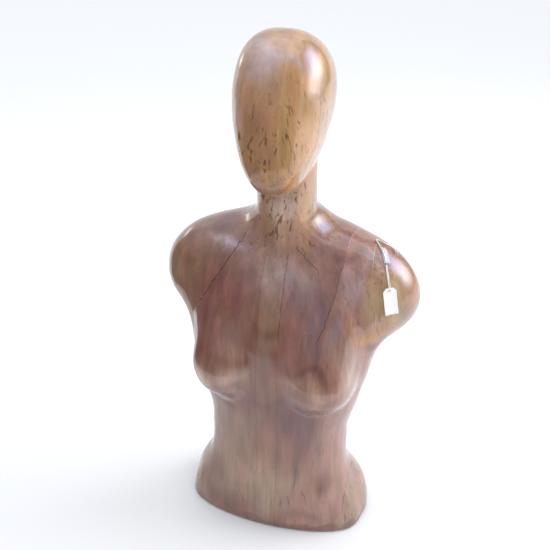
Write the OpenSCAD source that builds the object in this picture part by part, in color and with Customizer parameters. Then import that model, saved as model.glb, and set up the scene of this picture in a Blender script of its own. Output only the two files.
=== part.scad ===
// Mannequin bust, carved from a block of glued hardwood planks.
// Front is -Y, up is +Z, and the figure's own left is +X. Millimetres.
// The carved surface is one formula: rounded solids blended into each other.
// Planes cut it into the planks and blocks that the carver glued together.

/* [Torso] */
// Half width of the rib cage
rib_half_w = 152; // [140:1:160]
// Half width of the waist
waist_half_w = 118; // [108:1:124]
// Height of the middle of the waist
waist_z = 170; // [160:1:180]
// Half width of the hips at the base
hip_half_w = 155; // [150:1:165]
// Half depth of the hips at the base
hip_half_d = 70; // [64:1:76]
// How square the outline of the base is
hip_square = 2.7; // [2:0.1:3.2]
// Rounding of the bottom edge
foot_round = 6; // [3:1:8]
// Sideways drift of the base towards the left
base_drift = 2; // [0:0.5:4]

/* [Shoulders] */
// Half width from the middle to the centre of a shoulder stump
shoulder_x = 143; // [138:1:148]
// Height of the centre of a shoulder stump
shoulder_z = 437; // [430:1:442]
// Outward lean of a shoulder stump
shoulder_lean = -27; // [-32:1:-22]
// Sideways drift of the shoulders towards the left, as the carving isn't quite even
shoulder_drift = 4; // [0:0.5:6]

/* [Chest] */
// Distance of each breast from the middle
breast_x = 74; // [70:1:78]
// Height of the fullest part of the breasts
breast_z = 302; // [296:1:308]
// Half width of a breast
breast_half_w = 58; // [54:1:62]

/* [Neck and head] */
// Radius of the neck
neck_r = 45.5; // [43:0.5:48]
// Forward travel of the neck from its foot to its top
neck_lean = 33; // [26:1:38]
// Height of the head's widest level
head_z = 744; // [736:1:752]
// Backward tilt of the head
head_tilt = 22.5; // [16:0.5:28]
// Half width of the head
head_half_w = 67; // [62:1:72]
// Half depth of the head
head_half_d = 90; // [84:1:94]
// Length of the head from its widest level to the crown
head_up = 88; // [80:1:96]
// Length of the head from its widest level to the chin
head_down = 139.5; // [130:0.5:148]

/* [Glue lines] */
// Place of the central glue line, which also splits the neck and head
centre_seam_x = 18; // [10:1:24]
// Place of the glue line on the right of the thin centre stave
right_seam_x = -16; // [-26:1:-12]
// Place of the left glue line at the height of the chest
left_seam_x = 84; // [78:1:92]
// Lean of the left glue line
left_seam_lean = 7; // [3:1:9]
// Lean of the glue line under the right shoulder block
shoulder_seam_lean = 30; // [24:1:34]
// Place of the glue line inside the left shoulder cap, at the height of the stump
cap_seam_x = 149; // [144:1:153]
// Lean of that glue line, outward towards the armpit
cap_seam_lean = 10; // [8:1:14]
// Place of the glue lines inside the hip cheeks
cheek_seam_x = 128; // [124:1:134]
// Height of the neck seam at the middle of the neck
neck_seam_z = 543; // [538:1:550]
// Slope of the neck seam, lower at the front
neck_seam_tilt = 25; // [15:1:28]

/* [Pegs] */
// Radius of the thin pegs
peg_r = 5; // [4:0.5:6]
// Radius of the pegs through the centre stave
long_peg_r = 6; // [5:0.5:7]
// Radius of the peg in the neck
neck_peg_r = 10; // [8:0.5:11]
// Length of the peg in the neck
neck_peg_l = 90; // [70:5:110]
// Gap for glue around a peg
glue_gap = 0.05; // [0.02:0.01:0.1]

/* [Ticket] */
// Width of the card
card_w = 21; // [18:0.5:24]
// Length of the card
card_l = 42; // [36:0.5:44]
// Thickness of the card
card_t = 0.5; // [0.4:0.1:0.8]
// Size of the clipped top corners
card_clip = 5; // [3:0.5:7]
// Radius of the hole in the card
card_hole_r = 1.8; // [1.6:0.1:2]
// Diameter of one strand of the string
string_d = 1.3; // [1:0.1:1.5]
// Width of the clear tape
tape_w = 10; // [8:1:12]

/* [Hidden] */

figure_y = -9;      // sets the middle of the whole figure's depth over the origin
far = 600;          // longer than any part
tiny = 0.000001;
round_fn = 48;

// ---- rounded solids as distance formulas ----

function tip(q, a) = [q.x, q.y * cos(a) + q.z * sin(a), q.z * cos(a) - q.y * sin(a)];
function lean(q, a) = [q.x * cos(a) - q.z * sin(a), q.y, q.x * sin(a) + q.z * cos(a)];
function shared(q, r) = [q.x / r.x, q.y / r.y, q.z / r.z];

// Distance from a point to an ellipsoid of radii r about the origin
function ellipsoid(q, r) =
    let (a = norm(shared(q, r)), b = norm(shared(shared(q, r), r)))
    a * (a - 1) / max(b, tiny);

// The same for hips: an ellipsoid whose level outline is squarer than an ellipse
function hip_form(q, r, e) =
    let (flat = pow(abs(q.x) / r.x, e) + pow(abs(q.y) / r.y, e))
    (sqrt(pow(flat, 2 / e) + pow(q.z / r.z, 2)) - 1) * (r.x + r.y) / 2.4;

function rod(q, a, b, r) =
    let (h = (q - a) * (b - a) / ((b - a) * (b - a)))
    norm(q - a - min(max(h, 0), 1) * (b - a)) - r;

// Joins two solids with a fillet of about k
function join2(a, b, k) =
    let (h = max(k - abs(a - b), 0) / k)
    min(a, b) - h * h * k / 4;

// ---- the figure ----

// Middles and radii of the rounded solids; those with a side are the left one's
ribs_place = [0, 14, waist_z + 183];
ribs_r = [rib_half_w, 88, 170];
waist_place = [0, 18, waist_z];
waist_r = [waist_half_w, 80, 230];
girdle_place = [0, 48, shoulder_z + 45];
girdle_r = [137, 56, 52];
side_place = [77, 34, 338];
side_r = [34, 62, 116];
side_lean = -10;
stump_place = [shoulder_x, 46, shoulder_z];
stump_r = [64, 56, 70];
neck_muscle_place = [48, 54, 503];
neck_muscle_r = [82, 42, 36];
neck_muscle_lean = 22;
belly_place = [0, 18, 40];
belly_r = [113, 72, 150];
hip_place = [0, 11, 0];
hip_r = [hip_half_w, hip_half_d, 119];
seat_place = [66, 56, 20];
seat_r = [80, 58, 75];
breast_top_place = [breast_x - 2, -22, breast_z + 66];
breast_top_r = [60, 46, 98];
breast_tip = -14;
breast_place = [breast_x, -34, breast_z];
breast_r = [breast_half_w, 50, 54];
neck_foot = [0, 43, 450];
neck_rise = 200;
neck_top = neck_foot + [0, -neck_lean, neck_rise];
neck_base_place = [0, 43, 508];
neck_base_r = [58, 52, 40];

// How widely each solid blends into the rest
waist_fillet = 50;
girdle_fillet = 60;
side_fillet = 40;
stump_fillet = 55;
neck_muscle_fillet = 45;
hip_fillet = 34;
breast_fillet = 12;
breast_top_fillet = 24;
neck_fillet = 26;

// The same point for the other side: s is 1 on the left, -1 on the right
function on_side(place, s) = [s * place.x, place.y, place.z];
function side_muscle(q, s) = ellipsoid(lean(q - on_side(side_place, s), side_lean * s), side_r);
function stump(q, s) = ellipsoid(lean(q - on_side(stump_place, s), shoulder_lean * s), stump_r);
function neck_muscle(q, s) =
    ellipsoid(lean(q - on_side(neck_muscle_place, s), neck_muscle_lean * s), neck_muscle_r);
function seat(q, s) = ellipsoid(q - on_side(seat_place, s), seat_r);
function breast(q, s) =
    join2(
        ellipsoid(tip(q - on_side(breast_top_place, s), breast_tip), breast_top_r),
        ellipsoid(q - on_side(breast_place, s), breast_r),
        breast_top_fillet
    );

function trunk(q) =
    join2(
        join2(
            ellipsoid(q - ribs_place, ribs_r),
            ellipsoid(q - waist_place, waist_r),
            waist_fillet
        ),
        ellipsoid(q - girdle_place, girdle_r),
        girdle_fillet
    );
function join_both(d, left, right, k) = join2(join2(d, left, k), right, k);
function with_sides(q, d) = join_both(d, side_muscle(q, 1), side_muscle(q, -1), side_fillet);
function with_stumps(q, d) = join_both(d, stump(q, 1), stump(q, -1), stump_fillet);
function with_neck_muscles(q, d) =
    join_both(d, neck_muscle(q, 1), neck_muscle(q, -1), neck_muscle_fillet);
function with_belly(q, d) = join2(d, ellipsoid(q - belly_place, belly_r), side_fillet);
function with_hips(q, d) =
    join2(d, hip_form(q - hip_place, hip_r, hip_square), hip_fillet);
function with_seat(q, d) = join_both(d, seat(q, 1), seat(q, -1), side_fillet);
function with_breasts(q, d) = join_both(d, breast(q, 1), breast(q, -1), breast_fillet);
function neck(q) =
    join2(rod(q, neck_foot, neck_top, neck_r), ellipsoid(q - neck_base_place, neck_base_r), side_fillet);

// The torso and neck: below zero inside the wood, above zero outside it
function figure(p) =
    let (
        q = p - [0, figure_y, 0],
        upper = with_neck_muscles(q, with_stumps(q, with_sides(q, trunk(q)))),
        whole = with_breasts(q, with_seat(q, with_hips(q, with_belly(q, upper)))),
        necked = join2(whole, neck(q), neck_fillet)
    )
    -join2(-necked, q.z, foot_round);

// How far the wood reaches from point o along d, found by halving
function reach(o, d, near, beyond, steps) =
    let (m = (near + beyond) / 2)
    steps == 0 ? m
    : figure(o + m * d) < 0 ? reach(o, d, m, beyond, steps - 1)
    : reach(o, d, near, m, steps - 1);

// ---- rings of points that follow the surface ----

half_steps = 30;    // points from the front to the back of each side
body_reach = 260;
reach_steps = 12;

// How far each level is shifted sideways: the base and the shoulders, but not the waist or neck
drift_low_z = 330;
drift_high_z = 540;
function drift(z) =
    z < waist_z ? base_drift * (1 - z / waist_z)
    : z < shoulder_z ? shoulder_drift * min(max((z - drift_low_z) / (shoulder_z - drift_low_z), 0), 1)
    : shoulder_drift * min(max((drift_high_z - z) / (drift_high_z - shoulder_z), 0), 1);
// The rings' middle moves back from the chest to the neck
chest_y = 19;
chest_to_neck_y = 26;
chest_top_z = 380;
collar_h = 120;
function axis_y(z) =
    figure_y + chest_y + chest_to_neck_y * min(max((z - chest_top_z) / collar_h, 0), 1);
function half_ring(z) = [
    for (i = [0 : half_steps])
        let (a = -90 + 180 * i / half_steps, o = [0, axis_y(z), z], d = [cos(a), sin(a), 0])
        o + reach(o, d, 0, body_reach, reach_steps) * d
];
function ring(z) =
    let (half = half_ring(z), shift = [drift(z), 0, 0])
    concat(
        [for (p = half) p + shift],
        [for (i = [half_steps - 1 : -1 : 1]) [-half[i].x, half[i].y, z] + shift]
    );

// A closed skin over rings of equal length, lowest ring first
module skin(rings) {
    n = len(rings[0]);
    last = len(rings) - 1;
    points = [for (r = rings) each r];
    walls = [
        for (i = [0 : last - 1], j = [0 : n - 1])
            let (a = i * n + j, b = i * n + (j + 1) % n)
            each [[a, a + n, b + n], [a, b + n, b]]
    ];
    floor_face = [[for (j = [0 : n - 1]) j]];
    top_face = [[for (j = [n - 1 : -1 : 0]) last * n + j]];
    polyhedron(points, concat(floor_face, walls, top_face), convexity = 8);
}

foot_levels = [0, foot_round * 0.12, foot_round * 0.35, foot_round * 0.65, foot_round];
torso_levels = [
    each foot_levels,
    each [18 : 12 : 390],
    each [398 : 8 : 494],
    each [500 : 6 : 590]
];

module torso_and_neck() {
    skin([for (z = torso_levels) ring(z)]);
}

// ---- head: level rings that narrow from the temples to the chin ----

head_steps = 40;
head_rings = 30;
head_square = 2.58;
chin_narrowing = 0.25;
chin_thinning = 0.3;
head_y = -6;

function head_ring(t) =
    let (
        up = t > 0.5,
        w = up ? sin((t - 0.5) * 180) : -cos(t * 180),
        z = w * (up ? head_up : head_down),
        drop = max(-w, 0),
        half_w = head_half_w * (1 - chin_narrowing * pow(drop, 1.2)),
        half_d = head_half_d * (1 - chin_thinning * pow(drop, 1.5)),
        size = pow(1 - pow(abs(w), head_square), 1 / head_square)
    )
    [
        for (i = [0 : head_steps - 1])
            let (
                a = -90 + 360 * i / head_steps,
                part = pow(abs(cos(a)) / half_w, head_square) + pow(abs(sin(a)) / half_d, head_square),
                r = size / pow(part, 1 / head_square)
            )
            [r * cos(a), r * sin(a), z]
    ];

module head_form() {
    translate([0, figure_y + head_y, head_z])
        rotate([-head_tilt, 0, 0])
            skin([for (i = [1 : head_rings - 1]) head_ring(i / head_rings)]);
}

// The neck's upper end, which runs up inside the head
neck_core_start = 110;      // above the neck's foot
neck_core_l = 110;
module neck_core() {
    translate(neck_foot + [0, figure_y, 0])
        rotate([atan2(neck_lean, neck_rise), 0, 0])
            translate([0, 0, neck_core_start])
                cylinder(r = neck_r, h = neck_core_l, $fn = round_fn);
}

// ---- cutting planes ----

module above_neck_seam() {
    translate([0, figure_y + neck_foot.y, neck_seam_z])
        rotate([neck_seam_tilt, 0, 0])
            translate([-far, -far, 0])
                cube([2 * far, 2 * far, far]);
}

module between_x(x0, x1) {
    translate([x0, -far, -far])
        cube([x1 - x0, 2 * far, 4 * far]);
}

// Everything on the outer side of the right shoulder's leaning glue line
shoulder_seam_point = [-90, 0, 466];
module beyond_shoulder_seam() {
    translate(shoulder_seam_point)
        rotate([0, shoulder_seam_lean, 0])
            translate([-far, -far, -far])
                cube([far, 2 * far, 2 * far]);
}

// Everything on the outer side of the left leaning glue line
left_seam_z = 385;
module beyond_left_seam() {
    translate([left_seam_x, 0, left_seam_z])
        rotate([0, left_seam_lean, 0])
            translate([0, -far, -far])
                cube([far, 2 * far, 2 * far]);
}

cheek_top = 150;
module cheek_space(s) {
    translate([s > 0 ? cheek_seam_x : -cheek_seam_x - far, -far, -1])
        cube([far, 2 * far, cheek_top + 1]);
}

// Everything on the outer side of the left shoulder cap's glue line
cap_floor = 250;
cap_seam_z = 453;
module cap_space() {
    intersection() {
        translate([cap_seam_x, 0, cap_seam_z])
            rotate([0, -cap_seam_lean, 0])
                translate([0, -far, -far])
                    cube([far, 2 * far, 2 * far]);
        translate([0, -far, cap_floor])
            cube([far, 2 * far, far]);
    }
}

// The carved torso below the neck seam, as one closed mesh
module torso_part() {
    difference() {
        torso_and_neck();
        above_neck_seam();
    }
}

module head_part(x0, x1) {
    resize([0, 0, 0])
        intersection() {
            union() {
                intersection() {
                    torso_and_neck();
                    above_neck_seam();
                }
                neck_core();
                head_form();
            }
            between_x(x0, x1);
        }
}

// ---- pegs and their holes ----

centre_peg_l = 80;
centre_peg_places = [[1, 10, 60], [1, 10, 200], [1, 10, 335], [1, 20, 440]];
head_peg_l = 40;
head_peg_places = [[centre_seam_x, -15, 690], [centre_seam_x, 0, 770]];
left_peg_l = 40;
left_peg_places = [[46, 45, 75], [62, 26, 210], [80, 20, 350], [91, 30, 440]];
cap_peg_l = 44;
cap_peg_places = [[cap_seam_x, 30, 405], [cap_seam_x, 35, 460]];
hip_peg_l = 32;
hip_peg_places = [[cheek_seam_x, -20, 32], [cheek_seam_x, 40, 32]];
block_peg_l = 44;
block_peg_steps = [-45, -5, 35];
block_peg_y = 30;
neck_peg_x = 1;
neck_peg_y = figure_y + 27;
end_gap = 10;               // a hole's end room, as a multiple of its side gap

// Level pegs along X, centred on each place; extra widens and lengthens them into holes
module level_pegs(places, l, r, extra = 0) {
    for (p = places)
        translate(p)
            rotate([0, 90, 0])
                cylinder(r = r + extra, h = l + 2 * end_gap * extra, center = true, $fn = round_fn);
}

module block_pegs(extra = 0) {
    translate(shoulder_seam_point)
        rotate([0, shoulder_seam_lean, 0])
            for (s = block_peg_steps)
                translate([0, block_peg_y, s])
                    rotate([0, 90, 0])
                        cylinder(r = peg_r + extra, h = block_peg_l + 2 * end_gap * extra, center = true,
                            $fn = round_fn);
}

module neck_peg_form(extra = 0) {
    translate([neck_peg_x, neck_peg_y, neck_seam_z])
        rotate([atan2(neck_lean, neck_rise), 0, 0])
            cylinder(r = neck_peg_r + extra, h = neck_peg_l + 2 * end_gap * extra, center = true,
                $fn = round_fn);
}

function mirrored(places) = [for (p = places) [-p.x, p.y, p.z]];

// ---- wood blocks ----

module head_right_block() {
    color("#b98a62")
        difference() {
            head_part(-far, centre_seam_x);
            neck_peg_form(glue_gap);
            level_pegs(head_peg_places, head_peg_l, peg_r, glue_gap);
        }
}

module head_left_block() {
    color("#e0bc8c")
        difference() {
            head_part(centre_seam_x, far);
            level_pegs(head_peg_places, head_peg_l, peg_r, glue_gap);
        }
}

module right_shoulder_block() {
    color("#94675a")
        difference() {
            resize([0, 0, 0])
                intersection() {
                    torso_part();
                    beyond_shoulder_seam();
                    between_x(-far, right_seam_x);
                }
            block_pegs(glue_gap);
        }
}

module right_stave() {
    color("#8a5a52")
        difference() {
            resize([0, 0, 0])
                difference() {
                    intersection() {
                        torso_part();
                        between_x(-far, right_seam_x);
                    }
                    beyond_shoulder_seam();
                    cheek_space(-1);
                }
            block_pegs(glue_gap);
            level_pegs(centre_peg_places, centre_peg_l, long_peg_r, glue_gap);
            level_pegs(mirrored(hip_peg_places), hip_peg_l, peg_r, glue_gap);
        }
}

module centre_stave() {
    color("#9a7060")
        difference() {
            resize([0, 0, 0])
                intersection() {
                    torso_part();
                    between_x(right_seam_x, centre_seam_x);
                }
            neck_peg_form(glue_gap);
            level_pegs(centre_peg_places, centre_peg_l, long_peg_r, glue_gap);
        }
}

module left_inner_stave() {
    color("#86666a")
        difference() {
            resize([0, 0, 0])
                difference() {
                    intersection() {
                        torso_part();
                        between_x(centre_seam_x, far);
                    }
                    beyond_left_seam();
                }
            level_pegs(centre_peg_places, centre_peg_l, long_peg_r, glue_gap);
            level_pegs(left_peg_places, left_peg_l, peg_r, glue_gap);
        }
}

module left_outer_stave() {
    color("#a17a6e")
        difference() {
            resize([0, 0, 0])
                difference() {
                    intersection() {
                        torso_part();
                        beyond_left_seam();
                    }
                    cap_space();
                    cheek_space(1);
                }
            level_pegs(left_peg_places, left_peg_l, peg_r, glue_gap);
            level_pegs(cap_peg_places, cap_peg_l, peg_r, glue_gap);
            level_pegs(hip_peg_places, hip_peg_l, peg_r, glue_gap);
        }
}

module left_shoulder_cap() {
    color("#b08a5c")
        difference() {
            resize([0, 0, 0])
                intersection() {
                    torso_part();
                    cap_space();
                }
            level_pegs(cap_peg_places, cap_peg_l, peg_r, glue_gap);
        }
}

module hip_cheek(s, places) {
    difference() {
        resize([0, 0, 0])
            intersection() {
                torso_part();
                cheek_space(s);
            }
        level_pegs(places, hip_peg_l, peg_r, glue_gap);
    }
}

module right_hip_cheek() {
    color("#8f7264") hip_cheek(-1, mirrored(hip_peg_places));
}

module left_hip_cheek() {
    color("#a58a80") hip_cheek(1, hip_peg_places);
}

// ---- pegs ----

module neck_peg() {
    color("#c9a676") neck_peg_form();
}

module head_pegs() {
    color("#c9a676") level_pegs(head_peg_places, head_peg_l, peg_r);
}

module centre_pegs() {
    color("#c9a676") level_pegs(centre_peg_places, centre_peg_l, long_peg_r);
}

module left_seam_pegs() {
    color("#c9a676") level_pegs(left_peg_places, left_peg_l, peg_r);
}

module right_shoulder_pegs() {
    color("#c9a676") block_pegs();
}

module left_cap_pegs() {
    color("#c9a676") level_pegs(cap_peg_places, cap_peg_l, peg_r);
}

module right_hip_pegs() {
    color("#c9a676") level_pegs(mirrored(hip_peg_places), hip_peg_l, peg_r);
}

module left_hip_pegs() {
    color("#c9a676") level_pegs(hip_peg_places, hip_peg_l, peg_r);
}

// ---- strung ticket on the left shoulder ----

// The string leaves the tape here, and the ticket swings about this point
string_exit = [159, 3.5, 499];
string_turn = 39.5;         // turns the front of the ticket's frame to face out of the shoulder

// Route from the tape down to the card, seen from the side: [sideways, outward, up]
drop_route = [[0, 0, 0], [-0.7, 2.6, -2.8], [-1.4, 5.2, -5.7], [-2.2, 9.8, -11.6], [-2.9, 14.2, -17.7]];
front_end = [[-3.3, 18.4, -21.5], [-3.7, 22.4, -25.2]];
back_end = [[-3.3, 16.4, -21.5], [-3.7, 18.4, -25.2]];
card_turn = -9;
card_lean = 11;
card_swing = 6;
hole_drop = 4;              // from the card's top edge to the middle of its hole
hole_place = [-4.4, 22.2, -31.2];
strand_gap = 1.6;           // between the middles of the two strands
fork = 1.3;                 // the strands spread by this much each side, just above the card
string_sides = 8;

module ticket_frame() {
    translate(string_exit)
        rotate([0, 0, string_turn])
            children();
}

module card_frame() {
    ticket_frame()
        translate([hole_place.x, -hole_place.y, hole_place.z])
            rotate([0, 0, card_turn])
                rotate([-card_lean, 0, 0])
                    rotate([0, -card_swing, 0])
                        children();
}

function unit(v) = v / norm(v);

// A tube of string along a list of points
function tube_ring(route, i, r, side) =
    let (
        here = route[i],
        before = route[max(i - 1, 0)],
        after = route[min(i + 1, len(route) - 1)],
        along = unit(after - before),
        across = unit(side - (side * along) * along),
        over = cross(along, across)
    )
    [
        for (k = [0 : string_sides - 1])
            let (a = -360 * k / string_sides)
            here + r * (cos(a) * across + sin(a) * over)
    ];

module tube(route, r, side = [1, 0, 0]) {
    skin([for (i = [0 : len(route) - 1]) tube_ring(route, i, r, side)]);
}

// Both strands come down from the tape and pass through the hole as one loop
loop_r = 2.6;
loop_steps = 8;
function in_frame(p) = [p.x, -p.y, p.z];
function strand(ends, side) = [
    for (p = drop_route) in_frame(p) + [side * strand_gap / 2, 0, 0],
    for (i = [0 : len(ends) - 1])
        in_frame(ends[i]) + [side * (strand_gap / 2 + fork * (i + 1) / len(ends)), 0, 0]
];
front_strand = strand(front_end, -1);
back_strand = strand(back_end, 1);
hole_loop = [
    for (i = [0 : loop_steps])
        let (a = 180 * i / loop_steps, side = (strand_gap + 2 * fork) * (i / loop_steps - 0.5))
        in_frame(hole_place) + [side, -loop_r * cos(a), loop_r * (1 - sin(a))]
];
back_up = [for (i = [len(back_strand) - 1 : -1 : 0]) back_strand[i]];

module ticket_string() {
    color("white")
        ticket_frame()
            tube(concat(front_strand, hole_loop, back_up), string_d / 2);
}

module lot_ticket() {
    color("ivory")
        card_frame()
            translate([0, 0, hole_drop])
                rotate([90, 0, 0])
                    difference() {
                        linear_extrude(card_t, center = true)
                            polygon([
                                [-card_w / 2, -card_l], [card_w / 2, -card_l],
                                [card_w / 2, -card_clip], [card_w / 2 - card_clip, 0],
                                [card_clip - card_w / 2, 0], [-card_w / 2, -card_clip]
                            ]);
                        translate([0, -hole_drop, 0])
                            cylinder(r = card_hole_r, h = 4 * card_t, center = true, $fn = round_fn);
                    }
}

// Sets a point down on the shoulder, and lifts it by an amount along the shoulder's slope
shoulder_out = unit([0.43, -0.38, 0.82]);
settle_depth = 30;
function settled(p, lift) =
    let (start = p - [drift(p.z), 0, 0] - settle_depth * shoulder_out)
    start + (reach(start, shoulder_out, 0, 2 * settle_depth, reach_steps) + lift) * shoulder_out
        + [drift(p.z), 0, 0];

// Under the tape the strands run up the shoulder, fold back sharply and end in a knot
tail_route = [
    [157.9, 6, 501], [156, 9, 504], [152.5, 15, 509], [148.5, 20, 513.5], [143.5, 26, 517.5],
    [139, 31, 520.5], [136.5, 34.5, 522], [136, 36.5, 522], [137.5, 38, 521.5], [140, 38.5, 520.5],
    [144, 39, 519], [150, 40.5, 516], [156, 43, 512.5], [160, 44.5, 509.5], [163.5, 43, 507.5]
];
tail_r = string_d * 0.9;     // two strands, side by side
tail_lift = 1.5;
knot_place = [166.6, 38.5, 506];
knot_lift = 4.2;
knot_r = 3;
knot_stretch = [1.5, 1, 0.8];
knot_turn = [0, 35, -75];

module string_tail() {
    color("white") tube([for (p = tail_route) settled(p, tail_lift)], tail_r, [0, 0, 1]);
}

module string_knot() {
    color("white")
        translate(settled(knot_place, knot_lift))
            rotate(knot_turn)
                scale(knot_stretch)
                    sphere(r = knot_r, $fn = 20);
}

// The tape is a thin strip that lies on the curved shoulder and over the string
tape_start = [159.7, 7.3, 500];
tape_end = [147.8, 27.8, 515];
tape_lift = 1.5;
tape_t = 0.25;
tape_rows = 8;
tape_columns = 4;
function tape_point(i, j, lift) =
    let (
        along = tape_end - tape_start,
        across = unit(cross(shoulder_out, along)),
        place = tape_start + along * i / tape_rows + across * tape_w * (j / tape_columns - 0.5)
    )
    settled(place, lift);
function tape_ring(i) = concat(
    [for (j = [0 : tape_columns]) tape_point(i, j, tape_lift)],
    [for (j = [tape_columns : -1 : 0]) tape_point(i, j, tape_lift + tape_t)]
);

module clear_tape() {
    color("#dfe8ee", 0.5) skin([for (i = [0 : tape_rows]) tape_ring(i)]);
}

head_right_block();
head_left_block();
right_shoulder_block();
right_stave();
centre_stave();
left_inner_stave();
left_outer_stave();
left_shoulder_cap();
right_hip_cheek();
left_hip_cheek();
neck_peg();
head_pegs();
centre_pegs();
left_seam_pegs();
right_shoulder_pegs();
left_cap_pegs();
right_hip_pegs();
left_hip_pegs();
clear_tape();
string_tail();
string_knot();
ticket_string();
lot_ticket();
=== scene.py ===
"""Looks of a carved mannequin bust: varnished planks, and a strung ticket on one shoulder."""

import math

import bmesh
import bpy
import numpy as np
import openvdb
from mathutils import Matrix, Vector


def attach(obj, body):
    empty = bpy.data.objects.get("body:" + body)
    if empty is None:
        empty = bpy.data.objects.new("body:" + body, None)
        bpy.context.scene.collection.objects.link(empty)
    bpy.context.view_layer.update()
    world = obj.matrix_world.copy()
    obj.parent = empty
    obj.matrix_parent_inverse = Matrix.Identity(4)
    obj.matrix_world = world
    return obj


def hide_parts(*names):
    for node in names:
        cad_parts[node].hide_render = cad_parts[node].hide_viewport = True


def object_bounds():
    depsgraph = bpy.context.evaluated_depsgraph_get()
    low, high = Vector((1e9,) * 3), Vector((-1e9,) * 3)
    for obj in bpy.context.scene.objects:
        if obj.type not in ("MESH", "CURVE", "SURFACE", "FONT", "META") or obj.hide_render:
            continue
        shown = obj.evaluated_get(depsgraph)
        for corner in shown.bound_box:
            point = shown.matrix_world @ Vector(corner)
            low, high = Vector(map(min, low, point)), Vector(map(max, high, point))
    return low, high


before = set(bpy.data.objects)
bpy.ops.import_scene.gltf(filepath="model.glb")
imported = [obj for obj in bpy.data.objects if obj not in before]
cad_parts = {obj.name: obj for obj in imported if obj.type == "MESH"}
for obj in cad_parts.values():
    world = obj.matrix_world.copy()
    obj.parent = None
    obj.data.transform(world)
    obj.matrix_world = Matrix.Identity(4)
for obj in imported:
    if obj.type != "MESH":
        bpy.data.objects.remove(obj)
cad_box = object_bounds()

MM = 0.001  # the carving is worked out in millimetres, like the part's source
FIGURE_Y = -9.0  # sets the middle of the figure's depth over the origin


# ---- camera, lights and what the varnish reflects ----

FLOOR_HALF_W = 12
ROOM_R, ROOM_H = 1.35, 3.3  # the reflected room's radius and height, in metres
LOW = 0.004  # the reflected floor lies this far over the real one
NEAR_R, MID_R = 0.22, 0.72  # where its near and far parts begin
PALE_DAY = (0.95, 0.95, 1, 1)


def add_camera():
    """The photograph's viewpoint: above the head, and a little to the figure's own left."""
    turn, pitch, roll = (math.radians(a) for a in (15.7, 28.0, 1.6))
    distance, height = 1.125, 1.059
    sensor, focal_width, sideways = 36, 1.4982, -0.0113
    level = math.cos(pitch)
    forward = Vector((-math.sin(turn) * level, math.cos(turn) * level, -math.sin(pitch)))
    right = Vector((math.cos(turn), math.sin(turn), 0))
    up = right.cross(forward)
    right, up = (
        right * math.cos(roll) + up * math.sin(roll),
        up * math.cos(roll) - right * math.sin(roll),
    )
    camera = bpy.data.objects.new("camera", bpy.data.cameras.new("camera"))
    bpy.context.scene.collection.objects.link(camera)
    place = Vector((math.sin(turn) * distance, -math.cos(turn) * distance + FIGURE_Y * MM, height))
    camera.matrix_world = Matrix.Translation(place) @ Matrix((right, up, -forward)).transposed().to_4x4()
    camera.data.sensor_width = sensor
    camera.data.lens = sensor * focal_width
    camera.data.shift_x = sideways
    camera.data.clip_end = 100
    bpy.context.scene.camera = camera


BUST_MIDDLE = Vector((0, 0, 0.45))


def add_window(name, turn, rise, distance, width, height, power, colour):
    """A soft light that faces the bust. turn is from the front (-Y) towards the figure's left, in
    degrees, as it is in add_card."""
    light = bpy.data.lights.new(name, "AREA")
    light.shape, light.size, light.size_y = "RECTANGLE", width, height
    light.energy, light.color = power, colour
    turn, rise = math.radians(turn), math.radians(rise)
    out = Vector((math.sin(turn) * math.cos(rise), -math.cos(turn) * math.cos(rise), math.sin(rise)))
    lamp = bpy.data.objects.new(name, light)
    lamp.location = BUST_MIDDLE + out * distance
    lamp.rotation_mode = "QUATERNION"
    lamp.rotation_quaternion = out.to_track_quat("Z", "Y")
    bpy.context.scene.collection.objects.link(lamp)
    return lamp


def add_card(name, first_turn, last_turn, profile, shine, tint=None):
    """A curved card that only reflections see. profile is its (radius, height) points from one edge
    to the other, and it runs round the bust between two turns from the front, in degrees."""
    steps, rows = 32, len(profile)
    turns = [math.radians(first_turn + (last_turn - first_turn) * i / steps) for i in range(steps + 1)]
    corners = [(r * math.sin(a), -r * math.cos(a), z) for a in turns for r, z in profile]
    quads = [
        (rows * i + k, rows * i + k + 1, rows * (i + 1) + k + 1, rows * (i + 1) + k)
        for i in range(steps) for k in range(rows - 1)
    ]
    mesh = bpy.data.meshes.new(name)
    mesh.from_pydata(corners, [], quads)
    s = Shader(name)
    parts = [s.add("SeparateXYZ", {0: s.add("TexCoord", {}, "Object")}, axis) for axis in range(3)]
    mesh.materials.append(s.finish(
        Base_Color=(0, 0, 0, 1), Specular_IOR_Level=0.0,
        Emission_Color=tint(s, *parts) if tint else PALE_DAY, Emission_Strength=shine(s, *parts),
    ))
    card = bpy.data.objects.new(name, mesh)
    bpy.context.scene.collection.objects.link(card)
    card.visible_camera = card.visible_diffuse = card.visible_shadow = False


def room_shine(s, x, y, z):
    """Dark low down and on the figure's left, bright high up on its right."""
    return s.math("MULTIPLY", s.remap(z, 0.6, 3.3, 0.03, 2.4, smooth=False), s.remap(x, 0.0, 0.6, 1.0, 0.2))


def ceiling_shine(s, x, y, z):
    """Brighter on the figure's right."""
    return s.remap(x, -0.4, 1.3, 2.6, 1.2)


def floor_shine(s, x, y, z):
    """Brighter towards the window."""
    return s.remap(x, -0.1, 0.5, 0.8, 1.1)


def window_shine(s, x, y, z):
    """Soft at all its edges."""
    brightest = 8.0
    wide = s.math("MULTIPLY", s.remap(y, -0.5, 0.8), s.remap(y, 0.9, 2.2, 1.0, 0.0))
    high = s.math("MULTIPLY", s.remap(z, 0.4, 1.3), s.remap(z, 2.2, 4.3, 1.0, 0.0))
    return s.math("MULTIPLY", s.math("MULTIPLY", wide, high), brightest)


def window_tint(s, x, y, z):
    """White low down, blue with sky above."""
    return s.mix(s.remap(z, 1.2, 2.2), (0.9, 0.95, 1), (0.4, 0.54, 0.95))


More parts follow.
